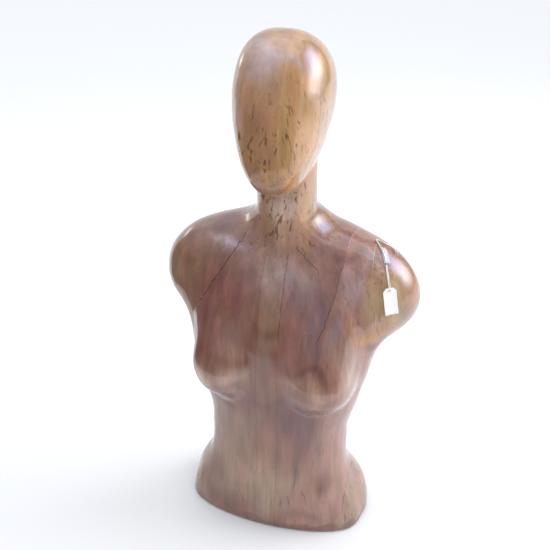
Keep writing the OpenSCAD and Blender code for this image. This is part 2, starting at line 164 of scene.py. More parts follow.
def add_world():
    """A pale studio, brighter overhead."""
    world = bpy.data.worlds.new("studio")
    bpy.context.scene.world = world
    world.use_nodes = True
    tree, sky = world.node_tree, world.node_tree.nodes["Background"]
    way = tree.nodes.new("ShaderNodeTexCoord").outputs["Generated"]
    parts = tree.nodes.new("ShaderNodeSeparateXYZ")
    tree.links.new(way, parts.inputs[0])
    overhead = tree.nodes.new("ShaderNodeMapRange")
    overhead.interpolation_type = "SMOOTHSTEP"
    for name, value in {"From Min": 0.5, "From Max": 0.95, "To Min": 0.95, "To Max": 1.8}.items():
        overhead.inputs[name].default_value = value
    tree.links.new(parts.outputs["Z"], overhead.inputs["Value"])
    tree.links.new(overhead.outputs[0], sky.inputs["Strength"])
    sky.inputs["Color"].default_value = (0.93, 0.955, 1.0, 1)


# ---- the carving's formula, in millimetres: below zero inside the wood ----

def ellipsoid(q, radii):
    """The rough distance from an ellipsoid about the origin."""
    tiny = 1e-6
    radii = np.asarray(radii, np.float32)
    a = np.linalg.norm(q / radii, axis=1)
    b = np.linalg.norm(q / radii**2, axis=1)
    return a * (a - 1) / np.maximum(b, tiny)


def join(a, b, fillet):
    """Both solids, with a fillet of about that size between them."""
    near = np.maximum(fillet - np.abs(a - b), 0) / fillet
    return np.minimum(a, b) - near * near * fillet / 4


def lean(q, degrees):
    """Points turned about Y, for a form that leans sideways."""
    c, s = math.cos(math.radians(degrees)), math.sin(math.radians(degrees))
    return np.stack([q[:, 0] * c - q[:, 2] * s, q[:, 1], q[:, 0] * s + q[:, 2] * c], 1)


def tip(q, degrees):
    """Points turned about X, for a form that tips back or forward."""
    c, s = math.cos(math.radians(degrees)), math.sin(math.radians(degrees))
    return np.stack([q[:, 0], q[:, 1] * c + q[:, 2] * s, q[:, 2] * c - q[:, 1] * s], 1)


def at(q, x, y, z):
    """Points measured from a place."""
    return q - np.array([x, y, z], np.float32)


def breast(q, side):
    upper = ellipsoid(tip(at(q, side * 72, -22, 368), -14), (60, 46, 98))
    lower = ellipsoid(at(q, side * 74, -34, 302), (58, 50, 54))
    return join(upper, lower, 24)


def hips(q):
    """An ellipsoid whose level outline is squarer than an ellipse."""
    half_w, half_d, half_h, square = 155, 70, 119, 2.7
    flat = np.abs(q[:, 0] / half_w) ** square + np.abs(q[:, 1] / half_d) ** square
    return (np.sqrt(flat ** (2 / square) + (q[:, 2] / half_h) ** 2) - 1) * (half_w + half_d) / 2.4


def neck(q):
    """A round rod that leans forward, on a wider base."""
    radius, fillet = 45.5, 40
    low, high = np.array([0, 43, 450], np.float32), np.array([0, 10, 650], np.float32)
    along = np.clip((q - low) @ (high - low) / np.dot(high - low, high - low), 0, 1)
    rod = np.linalg.norm(q - low - along[:, None] * (high - low), axis=1) - radius
    return join(rod, ellipsoid(at(q, 0, 43, 508), (58, 52, 40)), fillet)


def head(q):
    """An egg that is tilted back, and narrows and thins towards the chin."""
    tilt, up, down, square, mean_r = -22.5, 88, 139.5, 2.58, 60
    q = tip(at(q, 0, -6, 744), tilt)
    level = np.where(q[:, 2] > 0, q[:, 2] / up, q[:, 2] / down)
    drop = np.clip(-level, 0, 1.4)
    half_w = 67 * (1 - 0.25 * drop**1.2)
    half_d = 90 * (1 - 0.3 * drop**1.5)
    size = np.abs(q[:, 0] / half_w) ** square + np.abs(q[:, 1] / half_d) ** square + np.abs(level) ** square
    return (size ** (1 / square) - 1) * mean_r


def drift(z):
    """The carving's sideways shift at each height: it isn't quite even."""
    return np.interp(z, [0, 170, 330, 437, 540], [2, 0, 0, 4, 0])


def figure(p):
    """The figure: each form has its place and radii, then the fillet where it blends into the rest."""
    q = at(p, 0, FIGURE_Y, 0)
    q[:, 0] -= drift(p[:, 2])
    d = ellipsoid(at(q, 0, 14, 353), (152, 88, 170))  # ribs
    d = join(d, ellipsoid(at(q, 0, 18, 170), (118, 80, 230)), 50)  # waist
    d = join(d, ellipsoid(at(q, 0, 48, 482), (137, 56, 52)), 60)  # shoulder girdle
    for s in (1, -1):  # sides of the back
        d = join(d, ellipsoid(lean(at(q, s * 77, 34, 338), -10 * s), (34, 62, 116)), 40)
    for s in (1, -1):  # shoulder stumps
        d = join(d, ellipsoid(lean(at(q, s * 143, 46, 437), -27 * s), (64, 56, 70)), 55)
    for s in (1, -1):  # muscles from the neck to the shoulders
        d = join(d, ellipsoid(lean(at(q, s * 48, 54, 503), 22 * s), (82, 42, 36)), 45)
    d = join(d, ellipsoid(at(q, 0, 18, 40), (113, 72, 150)), 40)  # belly
    d = join(d, hips(at(q, 0, 11, 0)), 34)
    for s in (1, -1):  # seat
        d = join(d, ellipsoid(at(q, s * 66, 56, 20), (80, 58, 75)), 40)
    for s in (1, -1):
        d = join(d, breast(q, s), 12)
    d = join(d, neck(q), 26)
    d = -join(-d, q[:, 2], 6)  # the flat foot, with its edge rounded
    return join(d, head(q), 3)


def slope(p, step=0.4):
    """The unit direction in which the formula grows, and its rate."""
    grown = [figure(p + step * axis) - figure(p - step * axis) for axis in np.eye(3, dtype=np.float32)]
    gradient = np.stack(grown, 1) / (2 * step)
    rate = np.maximum(np.linalg.norm(gradient, axis=1), 1e-3)
    return gradient / rate[:, None], rate


VOXEL, QUICK_VOXEL = 2.0, 3.0
SPACE_LOW, SPACE_HIGH = [-216, -104, -8], [216, 120, 848]  # the space that the voxels fill
DENT_DEPTH = 0.22  # how deep the tool's shallow facets go
BOX_SLACK = np.array([0.1, 0.1, 0])  # how far the carving stays inside the CAD model's box
WAVES = 14


def ripple(p, wavelength, seed, stretch=1.0):
    """Smooth random waves, mostly between -1 and 1, drawn out by stretch along the height."""
    rng = np.random.default_rng(seed)
    waves = rng.normal(size=(WAVES, 3))
    waves /= np.linalg.norm(waves, axis=1)[:, None]
    waves[:, 2] /= stretch
    phases = rng.uniform(0, 2 * math.pi, WAVES)
    return np.sin(p @ (waves.T * (2 * math.pi / wavelength)) + phases).sum(1) / math.sqrt(WAVES)


def carve(voxel):
    """The whole figure's surface as points and quads: evenly spaced on the formula, then dented.

    The formula is worked out on coarse voxels first, then on each fine one near the surface."""
    coarse = 4
    low = np.array(SPACE_LOW, np.float32)
    count = np.ceil((np.array(SPACE_HIGH) - low) / (voxel * coarse)).astype(int) * coarse
    rough_axes = [low[i] + voxel * coarse * (np.arange(count[i] // coarse) + 0.5) for i in range(3)]
    rough = np.stack(np.meshgrid(*rough_axes, indexing="ij"), -1).reshape(-1, 3).astype(np.float32)
    field = figure(rough).reshape([c // coarse for c in count])
    for axis in range(3):
        field = np.repeat(field, coarse, axis)
    close = np.argwhere(np.abs(field) < voxel * coarse * 2.5)
    field[tuple(close.T)] = figure(low + voxel * (close.astype(np.float32) + 0.5))
    grid = openvdb.FloatGrid(background=50.0)
    grid.copyFromArray(field.astype(np.float32))
    points, quads = grid.convertToQuads(0.0)
    points, quads = even_out((low + voxel * (points + 0.5)).astype(np.float32), quads)
    away, _ = slope(points)
    hollow = DENT_DEPTH * (1.2 + ripple(points, 46, 1, 1.6) + 0.5 * ripple(points, 23, 2, 1.4))
    points -= away * np.maximum(hollow, 0.02)[:, None]
    low, high = (np.array(corner) / MM for corner in cad_box)
    return np.clip(points, low + BOX_SLACK, high - BOX_SLACK).astype(np.float32), quads


def even_out(points, quads, rounds=4, pull=0.5):
    """Slides the points along the surface towards the middle of their neighbours."""
    edges = np.concatenate([quads[:, [i, (i + 1) % 4]] for i in range(4)])
    edges = np.concatenate([edges, edges[:, ::-1]])
    neighbours = np.bincount(edges[:, 0], minlength=len(points))[:, None]
    for _ in range(rounds):
        middle = np.stack(
            [np.bincount(edges[:, 0], points[edges[:, 1], i], len(points)) for i in range(3)], 1
        ) / neighbours
        normal, rate = slope(points)
        shift = (middle - points) * pull
        shift -= normal * np.sum(shift * normal, 1)[:, None]
        points = (points + shift).astype(np.float32)
        points -= normal * (figure(points) / rate)[:, None]
    return points, quads


# ---- glue lines: each is a plane that cuts the carving into blocks ----

def leaning_plane(point, degrees):
    """A plane whose normal points along X and dips by an angle about Y."""
    a = math.radians(degrees)
    return Vector(point), Vector((math.cos(a), 0, -math.sin(a)))


NECK_TILT = math.radians(25)
NECK_SEAM = (Vector((0, FIGURE_Y + 43, 543)), Vector((0, -math.sin(NECK_TILT), math.cos(NECK_TILT))))
CENTRE_SEAM = leaning_plane((18, 0, 0), 0)
RIGHT_SEAM = leaning_plane((-16, 0, 0), 0)
LEFT_SEAM = leaning_plane((84, 0, 385), 7)
SHOULDER_SEAM = leaning_plane((-90, 0, 466), 30)
CAP_SEAM = leaning_plane((149, 0, 453), -10)
CHEEK_SEAMS = {side: leaning_plane((side * 128, 0, 0), 0) for side in (1, -1)}
CHEEK_TOP = 150
GROOVE_HALF_W, GROOVE_DEPTH = 0.8, 0.45


def cut(solid, plane, outer, below=None, groove=GROOVE_DEPTH):
    """Cuts a closed mesh at a glue line, closes it, and eases the edge into a fine groove.

    outer keeps the side that the plane's normal points to. Where below is given, only the
    part under that height is cut off."""
    point, normal = plane
    into = normal if outer else -normal
    limit = 1e9 if below is None else below
    for offset in (GROOVE_HALF_W, 0):
        everything = solid.verts[:] + solid.edges[:] + solid.faces[:]
        bmesh.ops.bisect_plane(
            solid, geom=everything, dist=1e-4, plane_co=point + into * offset, plane_no=normal
        )
    gone = [
        f for f in solid.faces
        if (f.calc_center_median() - point).dot(into) < 0 and f.calc_center_median().z < limit
    ]
    bmesh.ops.delete(solid, geom=gone, context="FACES")
    rim = [e for e in solid.edges if len(e.link_faces) == 1]
    lip = list({v for e in rim for v in e.verts})
    away, _ = slope(np.array([v.co for v in lip], np.float32))
    for v, n in zip(lip, away):
        v.co -= Vector(n) * groove
    bmesh.ops.holes_fill(solid, edges=rim, sides=0)
    for e in rim:
        e.smooth = False
    return solid


def cheek_of(solid, side):
    """The part of the hip outside its glue line."""
    plane = CHEEK_SEAMS[side]
    solid = cut(solid, plane, outer=side > 0)
    high = [f for f in solid.faces if f.calc_center_median().z > CHEEK_TOP]
    bmesh.ops.delete(solid, geom=high, context="FACES")
    return solid


def whole_solid(points, quads):
    """A smooth bmesh of the points and quads, facing outward."""
    solid = bmesh.new()
    mesh = bpy.data.meshes.new("carving")
    mesh.from_pydata([tuple(p) for p in points.tolist()], [], quads.tolist())
    solid.from_mesh(mesh)
    bpy.data.meshes.remove(mesh)
    bmesh.ops.recalc_face_normals(solid, faces=solid.faces)
    for f in solid.faces:
        f.smooth = True
    return solid


def split(solid, plane, groove=GROOVE_DEPTH):
    """The part on the side that the plane's normal points to, then the other part."""
    return cut(solid.copy(), plane, True, groove=groove), cut(solid, plane, False, groove=groove)


def make_blocks():
    """The carving cut at its glue lines: one closed bmesh for each carved node."""
    points, quads = carve(VOXEL)
    blocks = {}
    top, torso = split(whole_solid(points, quads), NECK_SEAM, groove=0.0)
    blocks["head_left_block"], blocks["head_right_block"] = split(top, CENTRE_SEAM, groove=0.1)
    left, rest = split(torso, CENTRE_SEAM)
    blocks["centre_stave"], right = split(rest, RIGHT_SEAM)
    right, blocks["right_shoulder_block"] = split(right, SHOULDER_SEAM)
    left, blocks["left_inner_stave"] = split(left, LEFT_SEAM)
    blocks["left_shoulder_cap"], left = split(left, CAP_SEAM)
    blocks["right_hip_cheek"] = cheek_of(right.copy(), -1)
    blocks["right_stave"] = cut(right, CHEEK_SEAMS[-1], True, CHEEK_TOP)
    blocks["left_hip_cheek"] = cheek_of(left.copy(), 1)
    blocks["left_outer_stave"] = cut(left, CHEEK_SEAMS[1], False, CHEEK_TOP)
    return blocks


# ---- node materials ----

class Shader:
    """A node material. Each call adds a node and returns the socket that the next call takes."""

    def __init__(self, name):
        self.material = bpy.data.materials.new(name)
        self.material.use_nodes = True
        self.tree = self.material.node_tree
        self.surface = self.tree.nodes["Principled BSDF"]

    def set(self, node, values):
        for name, value in values.items():
            if isinstance(value, bpy.types.NodeSocket):
                self.tree.links.new(value, node.inputs[name])
            else:
                node.inputs[name].default_value = value

    def add(self, kind, values, output=0, **settings):
        node = self.tree.nodes.new("ShaderNode" + kind)
        for name, value in settings.items():
            setattr(node, name, value)
        self.set(node, values)
        return node.outputs[output]

    def math(self, operation, a, b=0.0):
        return self.add("Math", {0: a, 1: b}, operation=operation)

    def place(self, scale, turn=(0, 0, 0)):
        """The point on the object in millimetres, turned, then stretched."""
        point = self.add("TexCoord", {}, "Object")
        turned = self.add(
            "Mapping",
            {"Vector": point, "Rotation": [math.radians(a) for a in turn], "Scale": (1 / MM,) * 3},
        )
        return self.add("Mapping", {"Vector": turned, "Scale": scale})

    def noise(self, place, detail, roughness=0.5, distortion=0.0):
        values = {"Vector": place, "Scale": 1.0, "Detail": detail, "Roughness": roughness}
        return self.add("TexNoise", {**values, "Distortion": distortion}, "Fac")

    def remap(self, value, low, high, to_low=0.0, to_high=1.0, smooth=True):
        return self.add(
            "MapRange",
            {"Value": value, "From Min": low, "From Max": high, "To Min": to_low, "To Max": to_high},
            interpolation_type="SMOOTHSTEP" if smooth else "LINEAR",
        )

    def mix(self, amount, a, b, blend="MIX"):
        a, b = ((*v, 1) if isinstance(v, tuple) and len(v) == 3 else v for v in (a, b))
        return self.add("Mix", {0: amount, 6: a, 7: b}, 2, data_type="RGBA", blend_type=blend)

    def bump(self, height, distance, strength=1.0):
        return self.add("Bump", {"Height": height, "Distance": distance * MM, "Strength": strength})

    def finish(self, **values):
        self.set(self.surface, {name.replace("_", " "): value for name, value in values.items()})
        return self.material


# ---- the wood's colours: stains, painted shade and painted reflection on the surface, then grain from nodes ----

HUES = {  # web colours
    "rust": "6a3120", "brick": "7a4843", "mauve": "86615b", "plum": "653c3e", "slate": "735c60",
    "ash": "826f6f", "olive": "886c54", "straw": "bb8f62", "honey": "b07a3a", "rosy": "9e766a",
    "umber": "5e361f", "sand": "a07e6c", "cocoa": "905f45", "pale": "b89e8c", "ochre": "b49c70",
    "fawn": "998066", "lilac": "a08a88", "haze": "ad9ca6", "wine": "55303a",
}
BASE = {  # each block's own colour
    "head_right_block": "9f724e", "head_left_block": "aa7d50", "right_shoulder_block": "7f5a45",
    "right_stave": "81594a", "centre_stave": "876250", "left_inner_stave": "865c50",
    "left_outer_stave": "936959", "left_shoulder_cap": "9e7259", "right_hip_cheek": "7c5b44",
    "left_hip_cheek": "8e6e5a",
}
# Each mark on the front, mostly stains, a few of them painted shade and painted reflection: x, z, half
# width, half height, hue, strength
STAINS_AND_PAINTED_LIGHT = [
    # head and neck
    # The two lilac patches on the crown, at z 818 and 804, are painted reflection of the pale sky.
    (-12, 818, 34, 12, "lilac", 1.0), (10, 804, 44, 12, "lilac", 0.7), (18, 735, 12, 40, "straw", 0.4),
    (-46, 740, 9, 60, "pale", 0.8), (-8, 735, 22, 45, "cocoa", 0.3), (44, 745, 10, 60, "straw", 0.8),
    (60, 772, 12, 22, "pale", 0.7), (58, 712, 12, 40, "honey", 0.7), (48, 672, 18, 30, "honey", 1.0),
    (2, 660, 16, 16, "honey", 0.9), (26, 648, 20, 14, "honey", 0.7),
    (-10, 648, 8, 28, "umber", 0.5), (6, 655, 5, 20, "umber", 0.4), (-5, 622, 25, 9, "mauve", 0.4),
    (-35, 580, 11, 35, "sand", 0.9), (-22, 560, 7, 32, "honey", 0.4), (0, 565, 20, 38, "sand", 0.6),
    (31, 578, 20, 45, "straw", 0.9), (22, 545, 20, 14, "sand", 0.7),
    (8, 580, 32, 28, "pale", 0.8), (40, 592, 12, 20, "straw", 0.7), (0, 520, 20, 9, "umber", 0.15),
    # collar and shoulders
    # The haze patch at (-76, 508), on top of the figure's right shoulder, is painted sheen: a painted
    # reflection of the room.
    (-45, 532, 20, 16, "mauve", 0.8), (-76, 508, 40, 14, "haze", 0.8), (-104, 525, 40, 9, "plum", 0.9),
    (60, 522, 20, 20, "mauve", 0.6), (97, 512, 22, 14, "plum", 0.7), (138, 502, 22, 12, "ash", 0.5),
    (-165, 425, 18, 25, "cocoa", 0.3), (-170, 455, 20, 20, "sand", 0.5), (148, 440, 16, 36, "ochre", 0.6),
    (170, 464, 24, 28, "ochre", 1.0), (180, 432, 16, 22, "ochre", 0.7),
    (125, 440, 14, 50, "rosy", 0.8), (130, 398, 12, 14, "cocoa", 0.8), (150, 388, 26, 15, "honey", 0.9),
    (160, 372, 18, 10, "rust", 0.8),
    # chest
    (-95, 440, 30, 50, "brick", 0.9), (-112, 395, 15, 35, "brick", 0.9), (-60, 440, 22, 40, "brick", 0.6),
    (-42, 480, 26, 22, "mauve", 0.7), (0, 450, 16, 40, "olive", 0.5), (14, 482, 34, 30, "lilac", 0.7),
    (50, 480, 20, 22, "lilac", 0.5), (52, 455, 20, 42, "ash", 0.6), (118, 472, 16, 30, "haze", 0.5),
    (66, 425, 9, 40, "slate", 0.6), (80, 430, 11, 65, "slate", 0.8), (101, 410, 10, 55, "ash", 0.9),
    (4, 397, 32, 14, "umber", 0.5), (-65, 382, 28, 16, "mauve", 0.6), (-60, 358, 30, 16, "sand", 0.5),
    (-58, 308, 32, 22, "pale", 0.65), (-104, 345, 10, 40, "brick", 0.7), (-108, 292, 16, 25, "pale", 1.0),
    (-26, 347, 9, 24, "rust", 0.9), (20, 342, 10, 28, "rust", 1.0), (-2, 300, 20, 45, "plum", 0.6),
    (82, 372, 13, 16, "slate", 0.6), (80, 336, 22, 10, "plum", 0.8), (66, 314, 42, 14, "sand", 0.8),
    (122, 325, 10, 40, "pale", 0.8), (98, 304, 16, 12, "sand", 0.6), (48, 368, 14, 16, "brick", 0.5),
    # waist and hips
    # The rust and brick bands at (-76, 243) and (-40, 264), under the figure's right breast, are painted
    # shade in the crease there.
    (50, 266, 30, 11, "wine", 0.6), (-76, 243, 30, 12, "rust", 1.0), (-40, 264, 22, 9, "brick", 0.9),
    (102, 275, 22, 20, "brick", 0.6), (42, 226, 27, 36, "wine", 0.6), (68, 212, 16, 50, "plum", 0.9),
    (106, 205, 12, 60, "rosy", 0.8), (-8, 262, 26, 16, "plum", 0.5), (24, 235, 55, 30, "plum", 0.35),
    (14, 195, 16, 30, "brick", 0.5),
    (-55, 165, 36, 55, "olive", 0.8), (5, 95, 46, 46, "fawn", 0.8), (-70, 95, 30, 40, "fawn", 0.5),
    (50, 125, 8, 38, "umber", 0.3), (97, 95, 19, 13, "umber", 1.0), (-122, 112, 12, 14, "umber", 0.7),
    (-100, 100, 12, 60, "umber", 0.3),
    (-55, 55, 40, 16, "olive", 0.7), (60, 30, 42, 12, "umber", 0.5), (114, 60, 20, 40, "sand", 0.6),
    (-70, 32, 42, 16, "umber", 0.7),
]
CRACKS = [  # hairline checks and open glue lines on the front: darkness, width, points (x, z)
    (1.0, 1.2, [(-54, 528), (-90, 466), (-130, 397)]),
    (0.8, 1.5, [(99, 508), (92, 450), (84, 414), (77, 392)]),
    (0.9, 1.1, [(30, 522), (45, 508), (66, 492)]),
    (0.55, 1.0, [(18, 512), (19, 470), (18, 430), (18, 390)]),
    (0.8, 1.0, [(47, 148), (50, 120), (49, 96)]),
    (0.9, 1.6, [(62, 84), (70, 64)]),
    (0.9, 1.6, [(-47, 62), (-40, 44)]),
    (0.8, 2.2, [(28, 62), (29, 52)]),
    (0.8, 2.2, [(39, 70), (42, 60)]),
]
# How strongly the dark flecks show at each height
FLECKS_BY_HEIGHT = [(0, 1.3), (90, 0.8), (480, 0.8), (560, 1.3), (720, 1.3), (770, 0.5), (800, 0.15)]
STAIN_DEPTH, STAIN_FALLOFF = 30, 1.1  # how far a stain reaches into the wood, and how fast it fades
SIDE_STAINS = 90  # how many free ones the back and sides get
NECK_FOOT, HEAD_NARROWER = 540, 0.35  # above this height the ones behind keep to a narrower strip
NECK_BLEND, NECK_FADE = 572, 40  # the neck takes the torso's colour below this height, over this much
RIM_HEIGHT, RIM_FADE, RIM_SHARE, RIM_HUE = 19, 8, 0.85, "6d4334"  # the dark band above the foot
CRACK_FADE = 6  # how far past its ends a crack still shows
FRONT_ONLY_Y = 30  # cracks show in front of this
FAR_OFF = 50.0  # an offset at which no crack shows


def linear(hexes):
    """A web colour as linear red, green and blue."""
    channels = np.array([int(hexes[i:i + 2], 16) / 255 for i in (0, 2, 4)])
    return np.where(channels < 0.04045, channels / 12.92, ((channels + 0.055) / 1.055) ** 2.4)


def touch(starts, way):
    """Where straight lines from some points outside first meet the wood."""
    steps, caution, longest = 60, 0.7, 12
    places = np.array(starts, np.float32)
    for _ in range(steps):
        gap = figure(places)
        places += np.outer(np.clip(gap * caution, 0, longest), way)
    return places


def all_stains_and_painted_light():
    """The front's stains and its patches of painted shade and painted reflection, and free stains on the
    back and sides, each at its place on the surface.
    """
    before, behind, beside = -130, 130, 214
    front = touch([(x, before, z) for x, z, *rest in STAINS_AND_PAINTED_LIGHT], (0, 1, 0))
    stains_and_painted_light = [(p, w, h, hue, k) for p, (x, z, w, h, hue, k) in zip(front, STAINS_AND_PAINTED_LIGHT)]
    rng = np.random.default_rng(7)
    hues = ["rust", "brick", "mauve", "plum", "olive", "honey", "rosy", "umber", "sand", "cocoa", "ash"]
    for i in range(SIDE_STAINS):
        z = rng.uniform(10, 800)
        if i % 3:
            x = rng.uniform(-150, 150) * (1 if z < NECK_FOOT else HEAD_NARROWER)
            start, way = (x, behind, z), (0, -1, 0)
        else:
            side = 1 - i % 2 * 2
            start, way = (side * beside, rng.uniform(15, 60), z), (-side, 0, 0)
        place = touch([start], way)[0]
        size = rng.uniform(12, 30), rng.uniform(24, 70)
        stains_and_painted_light.append((place, *size, hues[rng.integers(len(hues))], rng.uniform(0.25, 0.55)))
    return stains_and_painted_light


def paint(points, base, stains_and_painted_light):
    """Linear colours for points on one block."""
    shift = np.stack(
        [ripple(points, 38, 3, 2.5), ripple(points, 38, 4, 2.5), 2 * ripple(points, 52, 5, 1.5)], 1
    )
    moved = points + 5 * shift
    colour = np.tile(linear(base), (len(points), 1))
    if base in (BASE["head_right_block"], BASE["head_left_block"]):
        low = np.clip((NECK_BLEND - points[:, 2] + 6 * shift[:, 0]) / NECK_FADE, 0, 1)[:, None]
        colour += (linear(BASE["centre_stave"]) - colour) * low
    # each stain, and each patch of painted shade and painted reflection, blends its hue in here
    for place, half_w, half_h, hue, strength in stains_and_painted_light:
        gap = (moved - place) / (half_w, max(half_w, STAIN_DEPTH), half_h)
        cover = strength * np.exp(-STAIN_FALLOFF * np.sum(gap * gap, 1))
        colour += (linear(HUES[hue]) - colour) * cover[:, None]
    streak = 1 + 0.06 * ripple(points, 16, 6, 7) + 0.04 * ripple(points, 7, 8, 12)
    mottle = [
        1 + 0.06 * ripple(points, 27, 12, 2) + 0.035 * ripple(points, 34, 13 + i, 3) for i in range(3)
    ]
    rim = np.clip((RIM_HEIGHT + 5 * ripple(points, 30, 9) - points[:, 2]) / RIM_FADE, 0, 1) * RIM_SHARE
    colour += (linear(RIM_HUE) - colour) * rim[:, None]
    return colour * streak[:, None] * np.stack(mottle, 1)


def crack_offset(points):
    """How far each point is to the right of the nearest crack, and how strongly that crack shows."""
    best, shown = np.full(len(points), FAR_OFF), np.zeros(len(points))
    wander = 0.8 * ripple(points, 9, 11)
    for dark, width, line in CRACKS:
        xs, zs = (np.array(c, float) for c in zip(*sorted(line, key=lambda p: p[1])))
        lean_of_line = np.hypot(1, (xs[-1] - xs[0]) / (zs[-1] - zs[0]))
        offset = (points[:, 0] - np.interp(points[:, 2], zs, xs) + wander) / lean_of_line / width
        past = np.maximum(zs[0] - points[:, 2], points[:, 2] - zs[-1])
        on = dark * np.clip(1 - past / CRACK_FADE, 0, 1) * (points[:, 1] < FRONT_ONLY_Y)
        near = (np.abs(offset) < np.abs(best)) & (on > 0)
        best[near], shown[near] = offset[near], on[near]
    return best, shown


def wood(name, slant, flecks):
    """Varnished wood: the painted stains, painted shade and painted reflection, streaks and fibres
    along the height, dark flecks that lean by slant degrees, and cracks."""
    s = Shader(name)
    stain_and_painted_light = s.add("Attribute", {}, "Color", attribute_name="stain_and_painted_light")
    streak = s.remap(s.noise(s.place((0.09, 0.09, 0.006)), detail=5, distortion=0.5), 0.3, 0.72, 0.9, 1.09)
    fibre_noise = s.noise(s.place((0.9, 0.9, 0.035)), detail=3, roughness=0.65)
    colour = s.mix(1.0, stain_and_painted_light, streak, "MULTIPLY")
    colour = s.mix(1.0, colour, s.remap(fibre_noise, 0.25, 0.75, 0.92, 1.07), "MULTIPLY")
    clusters = s.remap(s.noise(s.place((0.035, 0.035, 0.012)), detail=2), 0.38, 0.55, 0.15, 1.0)
    fleck_noise = s.noise(s.place((0.21, 0.21, 0.048), turn=(0, slant, 0)), detail=2.5, roughness=0.6)
    dash = s.remap(fleck_noise, 0.56, 0.65)
    share = s.math("MULTIPLY", s.add("Attribute", {}, "Alpha", attribute_name="stain_and_painted_light"), flecks)
    fleck = s.math("MULTIPLY", s.math("MULTIPLY", dash, clusters), share)
    colour = s.mix(fleck, colour, (0.17, 0.07, 0.028))
    tick = s.remap(s.noise(s.place((1.0, 1.0, 0.11), turn=(0, slant, 0)), detail=1), 0.66, 0.72)
    colour = s.mix(s.math("MULTIPLY", s.math("MULTIPLY", tick, share), 0.5), colour, (0.1, 0.05, 0.028))
    aside = s.math("ABSOLUTE", s.add("Attribute", {}, "Fac", attribute_name="crack"))
    shown = s.add("Attribute", {}, "Fac", attribute_name="crack_shown")
    crack = s.math("MULTIPLY", s.remap(aside, 0.15, 0.6, 1.0, 0.0), shown)
    colour = s.mix(s.math("MULTIPLY", crack, 0.85), colour, (0.03, 0.014, 0.01))
    grain = s.math("SUBTRACT", s.math("MULTIPLY", fibre_noise, 0.05), s.math("MULTIPLY", fleck, 0.08))
    height = s.math("SUBTRACT", grain, s.math("MULTIPLY", crack, 0.3))
    smears = s.remap(s.noise(s.place((0.02, 0.02, 0.02)), detail=3), 0.35, 0.7, 0.34, 0.5)
    return s.finish(
        Base_Color=colour, Roughness=smears, Specular_IOR_Level=0.3, Normal=s.bump(height, 1.0, 0.6),
        Coat_Weight=1.0, Coat_Roughness=0.13, Coat_IOR=1.7,
    )


def peg_wood(name):
    """Pale straight-grained beech, unvarnished."""
    s = Shader(name)
    along = s.noise(s.place((0.05, 1.2, 1.2)), detail=3)
    short = s.remap(s.noise(s.place((0.3, 3.0, 3.0)), detail=1), 0.66, 0.72)
    colour = s.mix(s.remap(along, 0.3, 0.7), (0.56, 0.38, 0.22), (0.68, 0.5, 0.32))
    colour = s.mix(s.math("MULTIPLY", short, 0.5), colour, (0.32, 0.18, 0.09))
    return s.finish(
        Base_Color=colour, Roughness=s.remap(along, 0.3, 0.7, 0.6, 0.75), Normal=s.bump(along, 0.1)
    )


def make_object(name, node, body, material, solid):
    """A new piece from a bmesh in millimetres. It stands for one CAD node and rides a body."""
    mesh = bpy.data.meshes.new(name)
    solid.to_mesh(mesh)
    solid.free()
    mesh.transform(Matrix.Scale(MM, 4))
    mesh.materials.append(material)
    piece = bpy.data.objects.new(name, mesh)
    bpy.context.scene.collection.objects.link(piece)
    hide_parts(node)
    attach(piece, body)
    return piece


def paint_mesh(mesh, base, stains_and_painted_light):
    """Writes each vertex's colour of stains, painted shade and painted reflection, and its flecks and
    cracks, which the wood's nodes read.
    """
    points = np.empty(len(mesh.vertices) * 3, np.float32)
    mesh.vertices.foreach_get("co", points)
    points = points.reshape(-1, 3) / MM
    colours = np.empty((len(points), 4), np.float32)
    colours[:, :3] = paint(points, base, stains_and_painted_light)
    colours[:, 3] = np.interp(points[:, 2], *zip(*FLECKS_BY_HEIGHT))
    mesh.attributes.new("stain_and_painted_light", "FLOAT_COLOR", "POINT").data.foreach_set("color", colours.ravel())
    for name, values in zip(("crack", "crack_shown"), crack_offset(points)):
        mesh.attributes.new(name, "FLOAT", "POINT").data.foreach_set("value", values.astype(np.float32))


# ---- the strung ticket on the left shoulder, in millimetres like the part's source ----

STRING_EXIT = Vector((159, 3.5, 499))
STRING_D, PLIES = 1.3, 3
MESH_STEP, PATH_STEP = 0.45, 1.5  # spacing of the points along the string's mesh and its path
STRAND_GAP, FORK = 1.6, 1.3  # between the hanging strands, and how much each spreads at the card
LOOP_R, LOOP_STEPS = 2.6, 8  # the turn through the card's hole
# Points from the exit: across, forward and up. Both strands share the drop, then each has its end.
DROP_ROUTE = [(0, 0, 0), (-0.7, 2.6, -2.8), (-1.4, 5.2, -5.7), (-2.2, 9.8, -11.6), (-2.9, 14.2, -17.7)]
FRONT_END = [(-3.3, 18.4, -21.5), (-3.7, 22.4, -25.2)]
BACK_END = [(-3.3, 16.4, -21.5), (-3.7, 18.4, -25.2)]
HOLE_PLACE = (-4.4, 22.2, -31.2)
TAIL_ROUTE = [
    (157.9, 6, 501), (156, 9, 504), (152.5, 15, 509), (148.5, 20, 513.5), (143.5, 26, 517.5),
    (139, 31, 520.5), (136.5, 34.5, 522), (136, 36.5, 522), (137.5, 38, 521.5), (140, 38.5, 520.5),
    (144, 39, 519), (150, 40.5, 516), (156, 43, 512.5), (160, 44.5, 509.5), (163.5, 43, 507.5),
]
TAIL_LIFT = 1.5  # height of a middle line over the wood
KNOT_PLACE, KNOT_LIFT = (166.6, 38.5, 506), 4.2
SHOULDER_OUT = Vector((0.43, -0.38, 0.82)).normalized()
TAPE_START, TAPE_END, TAPE_W = Vector((159.7, 7.3, 500)), Vector((147.8, 27.8, 515)), 10
CARD_W, CARD_L, CARD_T, CARD_CLIP = 21, 42, 0.4, 5
CARD_HOLE_R, HOLE_DROP = 1.8, 4  # the hole, and how far it is below the card's top


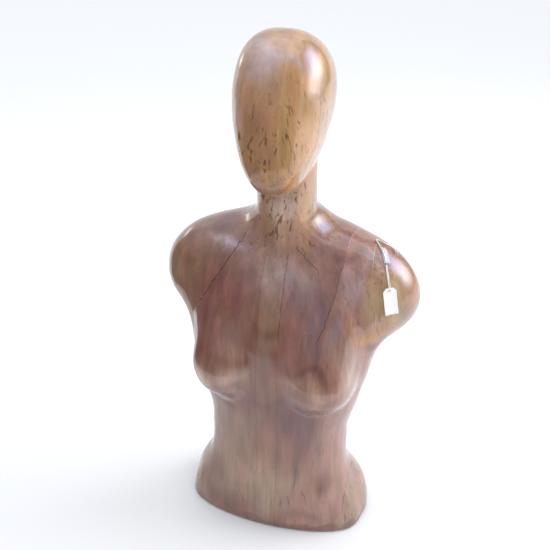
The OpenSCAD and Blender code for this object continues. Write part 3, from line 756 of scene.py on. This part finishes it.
def turned(x=0.0, y=0.0, z=0.0):
    """Turns about X, then Y, then Z, in degrees."""
    about_x, about_y, about_z = (
        Matrix.Rotation(math.radians(angle), 4, axis) for angle, axis in ((x, "X"), (y, "Y"), (z, "Z"))
    )
    return about_z @ about_y @ about_x


TICKET_FRAME = Matrix.Translation(STRING_EXIT) @ turned(z=39.5)
CARD_FRAME = (
    TICKET_FRAME @ Matrix.Translation((HOLE_PLACE[0], -HOLE_PLACE[1], HOLE_PLACE[2]))
    @ turned(z=-9) @ turned(x=-11) @ turned(y=-6)
)


def settled(places, lift):
    """Sets points down on the shoulder, lifted by an amount along its slope."""
    depth, reach, halvings = 30, 60.0, 16
    out = np.array(SHOULDER_OUT)
    start = np.array(places, float) - depth * out
    near, beyond = np.zeros(len(start)), np.full(len(start), reach)
    for _ in range(halvings):
        middle = (near + beyond) / 2
        inside = figure((start + middle[:, None] * out).astype(np.float32)) < 0
        near, beyond = np.where(inside, middle, near), np.where(inside, beyond, middle)
    return start + (near + lift)[:, None] * out


def ticket_route():
    """Down one strand, through the card's hole, and up the other."""
    def strand(ends, side):
        spread = [0] * len(DROP_ROUTE) + [FORK * (i + 1) / len(ends) for i in range(len(ends))]
        return [(x + side * (STRAND_GAP / 2 + w), -y, z) for (x, y, z), w in zip(DROP_ROUTE + ends, spread)]
    x, y, z = HOLE_PLACE
    loop = []
    for i in range(LOOP_STEPS + 1):
        a, side = math.pi * i / LOOP_STEPS, (STRAND_GAP + 2 * FORK) * (i / LOOP_STEPS - 0.5)
        loop.append((x + side, -y - LOOP_R * math.cos(a), z + LOOP_R * (1 - math.sin(a))))
    whole = strand(FRONT_END, -1) + loop + strand(BACK_END, 1)[::-1]
    return np.array([TICKET_FRAME @ Vector(p) for p in whole])


def smoothed(points, spacing):
    """Evenly spaced points on a smooth curve through the given ones."""
    steps = 12
    points = np.array(points, float)
    ahead = np.concatenate([[2 * points[0] - points[1]], points, [2 * points[-1] - points[-2]]])
    curve = []
    for i in range(len(points) - 1):
        p0, p1, p2, p3 = ahead[i:i + 4]
        for t in np.linspace(0, 1, steps, endpoint=False):
            curve.append(
                0.5 * (2 * p1 + (p2 - p0) * t + (2 * p0 - 5 * p1 + 4 * p2 - p3) * t**2
                       + (3 * p1 - p0 - 3 * p2 + p3) * t**3)
            )
    curve = np.array(curve + [points[-1]])
    far = np.concatenate([[0], np.cumsum(np.linalg.norm(np.diff(curve, axis=0), axis=1))])
    marks = np.linspace(0, far[-1], max(int(far[-1] / spacing), 2) + 1)
    return np.stack([np.interp(marks, far, curve[:, i]) for i in range(3)], 1)


def frames_along(line, hint):
    """The two directions across a line at each of its points, without twist. The first is near hint."""
    along = np.gradient(line, axis=0)
    along /= np.linalg.norm(along, axis=1)[:, None]
    across = np.array(hint, float)
    sides = []
    for step in along:
        across = across - step * np.dot(across, step)
        across /= np.linalg.norm(across)
        sides.append(across)
    sides = np.array(sides)
    return sides, np.cross(along, sides)


def add_tube(solid, line, radius, hint=(1, 0, 0), plies=0, pitch=2.4, sides=12, taper=False):
    """Adds a closed tube along a line. With plies it is a twisted cord of that many strands."""
    valley, ply_rise, thinning = 0.88, 0.15, 0.75
    across, over = frames_along(line, hint)
    far = np.concatenate([[0], np.cumsum(np.linalg.norm(np.diff(line, axis=0), axis=1))])
    rings = []
    for i, place in enumerate(line):
        ring = []
        for k in range(sides):
            a = 2 * math.pi * k / sides
            lobe = valley + ply_rise * abs(math.cos(plies / 2 * a)) if plies else 1.0
            r = radius * lobe * (1 - thinning * i / len(line) if taper else 1)
            b = a + 2 * math.pi * far[i] / pitch * (plies > 0)
            ring.append(solid.verts.new(place + r * (math.cos(b) * across[i] + math.sin(b) * over[i])))
        rings.append(ring)
    for low, high in zip(rings, rings[1:]):
        for k in range(sides):
            solid.faces.new((low[k], low[(k + 1) % sides], high[(k + 1) % sides], high[k])).smooth = True
    solid.faces.new(rings[0][::-1])
    solid.faces.new(rings[-1])


def cotton(name):
    """Bleached cotton: a soft sheen, fine fibres and a little dirt in places."""
    s = Shader(name)
    fibre = s.noise(s.place((3.0, 3.0, 3.0)), detail=3, roughness=0.7)
    grime = s.remap(s.noise(s.place((0.12, 0.12, 0.12)), detail=2), 0.45, 0.75)
    colour = s.mix(s.math("MULTIPLY", grime, 0.5), (0.86, 0.85, 0.83), (0.62, 0.58, 0.52))
    colour = s.mix(1.0, colour, s.remap(fibre, 0.3, 0.7, 0.88, 1.0), "MULTIPLY")
    return s.finish(
        Base_Color=colour, Roughness=s.remap(fibre, 0.3, 0.7, 0.75, 0.9), Sheen_Weight=0.4,
        Sheen_Roughness=0.4, Normal=s.bump(fibre, 0.12, 0.7),
    )


def clear_film(name):
    """Clear tape: a glossy film with a faint haze and streaks of trapped air."""
    s = Shader(name)
    haze = s.noise(s.place((0.25, 0.08, 0.25), turn=(0, 0, -30)), detail=3)
    return s.finish(
        Base_Color=s.mix(haze, (0.70, 0.76, 0.84), (0.86, 0.89, 0.94)),
        Roughness=s.remap(haze, 0.3, 0.7, 0.12, 0.28), Alpha=s.remap(haze, 0.35, 0.7, 0.25, 0.55),
        Coat_Weight=1.0, Coat_Roughness=0.05, Normal=s.bump(haze, 0.1, 0.4),
    )


def ticket_card(name):
    """White card with fibres, a rubbed grey patch and slightly yellowed edges."""
    s = Shader(name)
    fibre = s.noise(s.place((0.9, 0.9, 0.9)), detail=4, roughness=0.7)
    rub = s.remap(s.noise(s.place((0.09, 0.09, 0.06)), detail=3), 0.52, 0.68)
    scuff = s.remap(s.noise(s.place((0.5, 0.5, 0.22), turn=(0, 35, 0)), detail=3), 0.6, 0.72)
    colour = s.mix(s.remap(fibre, 0.3, 0.7), (0.80, 0.79, 0.76), (0.88, 0.87, 0.85))
    colour = s.mix(s.math("MULTIPLY", rub, 0.25), colour, (0.62, 0.60, 0.60))
    colour = s.mix(s.math("MULTIPLY", scuff, 0.3), colour, (0.50, 0.48, 0.50))
    return s.finish(
        Base_Color=colour, Roughness=s.remap(fibre, 0.3, 0.7, 0.5, 0.68), Normal=s.bump(fibre, 0.05, 0.6)
    )


def cotton_piece(name, node, body, material, solid):
    return make_object(name, node, body, cotton(material), solid)


def make_ticket_string():
    """The doubled string that hangs from the tape, and the path that it follows."""
    route = ticket_route()
    solid = bmesh.new()
    add_tube(solid, smoothed(route, MESH_STEP), STRING_D / 2, plies=PLIES)
    piece = cotton_piece("ticket_string_cotton", "ticket_string", "string_drop", "string_cotton", solid)
    return piece, smoothed(route, PATH_STEP) * MM


def make_string_tail():
    """The same two strands, side by side under the tape, folded back and run to the knot."""
    spacing, strand_r, sway, sways = 0.6, 0.62, 0.5, 2.5
    route = settled(TAIL_ROUTE, TAIL_LIFT)
    middle = smoothed(route, spacing)
    up = (0, 0, 1)
    across, over = frames_along(middle, up)
    far = np.linspace(0, 1, len(middle))
    a = 0.5 * math.pi + sway * np.sin(2 * math.pi * far * sways)
    solid = bmesh.new()
    for side in (1, -1):
        offset = side * strand_r * (np.sin(a)[:, None] * over + np.cos(a)[:, None] * across)
        add_tube(solid, middle + offset, strand_r, hint=up, plies=PLIES)
    piece = cotton_piece("string_tail_cotton", "string_tail", "bust", "tail_cotton", solid)
    return piece, smoothed(route, PATH_STEP) * MM


def make_string_knot():
    """A pulled-up overhand knot with two frayed ends."""
    half_l, half_w, half_h, cord_r = 1.15, 0.72, 1.3, 0.85
    threads, thread_r, tangle = 7, 0.16, 0.8
    place = Matrix.Translation(Vector(settled([KNOT_PLACE], KNOT_LIFT)[0])) @ turned(y=35, z=-75)
    turns = np.linspace(0, 2 * math.pi, 97)
    r = 2 + np.cos(3 * turns)
    knot = np.stack(
        [half_l * r * np.cos(2 * turns), half_w * r * np.sin(2 * turns), half_h * np.sin(3 * turns)], 1
    )
    solid = bmesh.new()
    add_tube(solid, knot, cord_r, plies=PLIES, pitch=3)
    rng = np.random.default_rng(3)
    steps = np.linspace(0, 1, 9)[:, None]
    for side in (1, -1):
        straight = np.array([3.2, 0.9 * side, 0.2]) + np.array([4.6, 1.5 * side, -0.5]) * steps
        for _ in range(threads):
            bend = rng.normal(0, tangle, 3)
            add_tube(solid, straight + bend * steps**2, thread_r, sides=6, taper=True)
    bmesh.ops.transform(solid, matrix=place, verts=solid.verts)
    return cotton_piece("string_knot_cotton", "string_knot", "bust", "knot_cotton", solid)


def make_clear_tape():
    """A thin film that lies on the curved shoulder and rises over the string."""
    along = TAPE_END - TAPE_START
    across = SHOULDER_OUT.cross(along).normalized()
    rows, columns, thickness = 48, 28, 0.08
    film_gap, string_rise, shoulder_w = 0.25, 1.95, 1.1
    string = smoothed(settled(TAIL_ROUTE, 0), 0.5)
    grid = np.array([
        TAPE_START + along * (i / rows) + across * TAPE_W * (j / columns - 0.5)
        for i in range(rows + 1) for j in range(columns + 1)
    ])
    down = settled(grid, 0)
    gap = np.linalg.norm(down[:, None] - string[None], axis=2).min(1)
    wrinkle = 0.12 * (1 + ripple(grid, 7, 21)) * np.clip((gap - 1) / 3, 0, 1)
    rise = film_gap + string_rise * np.exp(-(np.maximum(gap - 0.5, 0) / shoulder_w) ** 2) + wrinkle
    out = np.array(SHOULDER_OUT)
    solid = bmesh.new()
    sheets = [[solid.verts.new(p) for p in down + (rise + t)[:, None] * out] for t in (0, thickness)]
    width = columns + 1
    for i in range(rows):
        for j in range(columns):
            corners = (i * width + j, i * width + j + 1, (i + 1) * width + j + 1, (i + 1) * width + j)
            for sheet, order in zip(sheets, (1, -1)):
                solid.faces.new([sheet[c] for c in corners[::order]]).smooth = True
    edge = (
        [i * width for i in range(rows + 1)] + [rows * width + j for j in range(1, width)]
        + [i * width + columns for i in range(rows - 1, -1, -1)] + [j for j in range(columns - 1, 0, -1)]
    )
    for a, b in zip(edge, edge[1:] + edge[:1]):
        solid.faces.new((sheets[0][a], sheets[0][b], sheets[1][b], sheets[1][a]))
    bmesh.ops.recalc_face_normals(solid, faces=solid.faces)
    make_object("clear_tape_film", "clear_tape", "bust", clear_film("tape_film"), solid)


def make_ticket():
    """A card cut as one outline round its hole, with a slight curl and eased edges."""
    spacing, rings, eased_t = 1.5, 16, 0.7
    side_curl, foot_curl = 0.9, 1.6
    half_w, top, foot = CARD_W / 2, HOLE_DROP, HOLE_DROP - CARD_L
    outline = [
        (half_w, foot), (half_w, top - CARD_CLIP), (half_w - CARD_CLIP, top),
        (CARD_CLIP - half_w, top), (-half_w, top - CARD_CLIP), (-half_w, foot),
    ]
    edge = []
    for (x0, z0), (x1, z1) in zip(outline, outline[1:] + outline[:1]):
        steps = max(int(math.hypot(x1 - x0, z1 - z0) / spacing), 1)
        edge += [(x0 + (x1 - x0) * i / steps, z0 + (z1 - z0) * i / steps) for i in range(steps)]
    solid = bmesh.new()
    layers = []
    for side in (-0.5, 0.5):
        layer = []
        for ring in range(rings + 1):
            t = (ring / rings) ** 1.3
            row = []
            for x, z in edge:
                reach = math.hypot(x, z)
                x0, z0 = x / reach * CARD_HOLE_R, z / reach * CARD_HOLE_R
                px, pz = x0 + (x - x0) * t, z0 + (z - z0) * t
                curl = side_curl * (px / half_w) ** 2 + foot_curl * max(-pz / CARD_L, 0) ** 2.5
                eased = eased_t if ring in (0, rings) else 1
                row.append(solid.verts.new((px, -curl + side * CARD_T * eased, pz)))
            layer.append(row)
        layers.append(layer)
    n = len(edge)
    for layer, order in zip(layers, (1, -1)):
        for low, high in zip(layer, layer[1:]):
            for k in range(n):
                corners = (low[k], low[(k + 1) % n], high[(k + 1) % n], high[k])
                solid.faces.new(corners[::order]).smooth = True
    for ring in (0, rings):
        low, high = layers[0][ring], layers[1][ring]
        for k in range(n):
            solid.faces.new((low[k], low[(k + 1) % n], high[(k + 1) % n], high[k]))
    bmesh.ops.recalc_face_normals(solid, faces=solid.faces)
    bmesh.ops.transform(solid, matrix=CARD_FRAME, verts=solid.verts)
    look = ticket_card("ticket_card")
    return make_object("lot_ticket_card", "lot_ticket", "ticket", look, solid)


# ---- the scene: camera and cords first ----

add_camera()
string, string_line = make_ticket_string()
tail, tail_line = make_string_tail()
knot, card = make_string_knot(), make_ticket()
make_clear_tape()
add_world()
add_card("far_room", -108, 64, [(MID_R, LOW), (ROOM_R, LOW), (ROOM_R, ROOM_H)], room_shine)
add_card("ceiling", -180, 180, [(1.36, ROOM_H), (0.001, ROOM_H)], ceiling_shine)
add_card("near_floor", -180, 55, [(NEAR_R, LOW), (MID_R, LOW)], floor_shine)
add_card("window_glow", 75, 158, [(2.4, 0.3), (2.4, 4.3)], window_shine, window_tint)
window = add_window("window_left", 116, 28, 2.4, 1.7, 1.8, 46, (0.96, 0.975, 1))
window.visible_glossy = False  # the varnish shows window_glow in its place
add_window("window_right", -112, 14, 2.6, 1.1, 0.3, 3, (0.95, 0.97, 1))
floor_mesh = bpy.data.meshes.new("floor")
corners = [(x * FLOOR_HALF_W, y * FLOOR_HALF_W, 0) for x, y in ((-1, -1), (1, -1), (1, 1), (-1, 1))]
floor_mesh.from_pydata(corners, [], [(0, 1, 2, 3)])
floor = bpy.data.objects.new("floor", floor_mesh)
bpy.context.scene.collection.objects.link(floor)
paper = Shader("floor_paper").finish(Base_Color=(0.72, 0.72, 0.72, 1), Roughness=0.6)
floor_mesh.materials.append(paper)
bpy.context.scene.view_settings.view_transform = "Standard"

WOODS = {  # block: material slot, lean of its flecks in degrees, and how many show
    "head_right_block": ("head_right_wood", -14, 0.9), "head_left_block": ("head_left_wood", 14, 0.9),
    "right_shoulder_block": ("right_shoulder_wood", 2, 0.55), "right_stave": ("right_stave_wood", 2, 0.4),
    "centre_stave": ("centre_stave_wood", -3, 0.4), "left_inner_stave": ("left_inner_wood", 2, 0.4),
    "left_outer_stave": ("left_outer_wood", 3, 0.45), "left_shoulder_cap": ("left_cap_wood", 4, 0.7),
    "right_hip_cheek": ("right_hip_wood", -2, 0.6), "left_hip_cheek": ("left_hip_wood", 2, 0.6),
}
stains_and_painted_light = all_stains_and_painted_light()
for node, solid in make_blocks().items():
    slot, slant, flecks = WOODS[node]
    block = make_object(node + "_carved", node, "bust", wood(slot, slant, flecks), solid)
    paint_mesh(block.data, BASE[node], stains_and_painted_light)
beech = peg_wood("peg_wood")
for node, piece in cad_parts.items():
    if node.endswith(("_peg", "_pegs")):
        piece.data.materials.clear()
        piece.data.materials.append(beech)
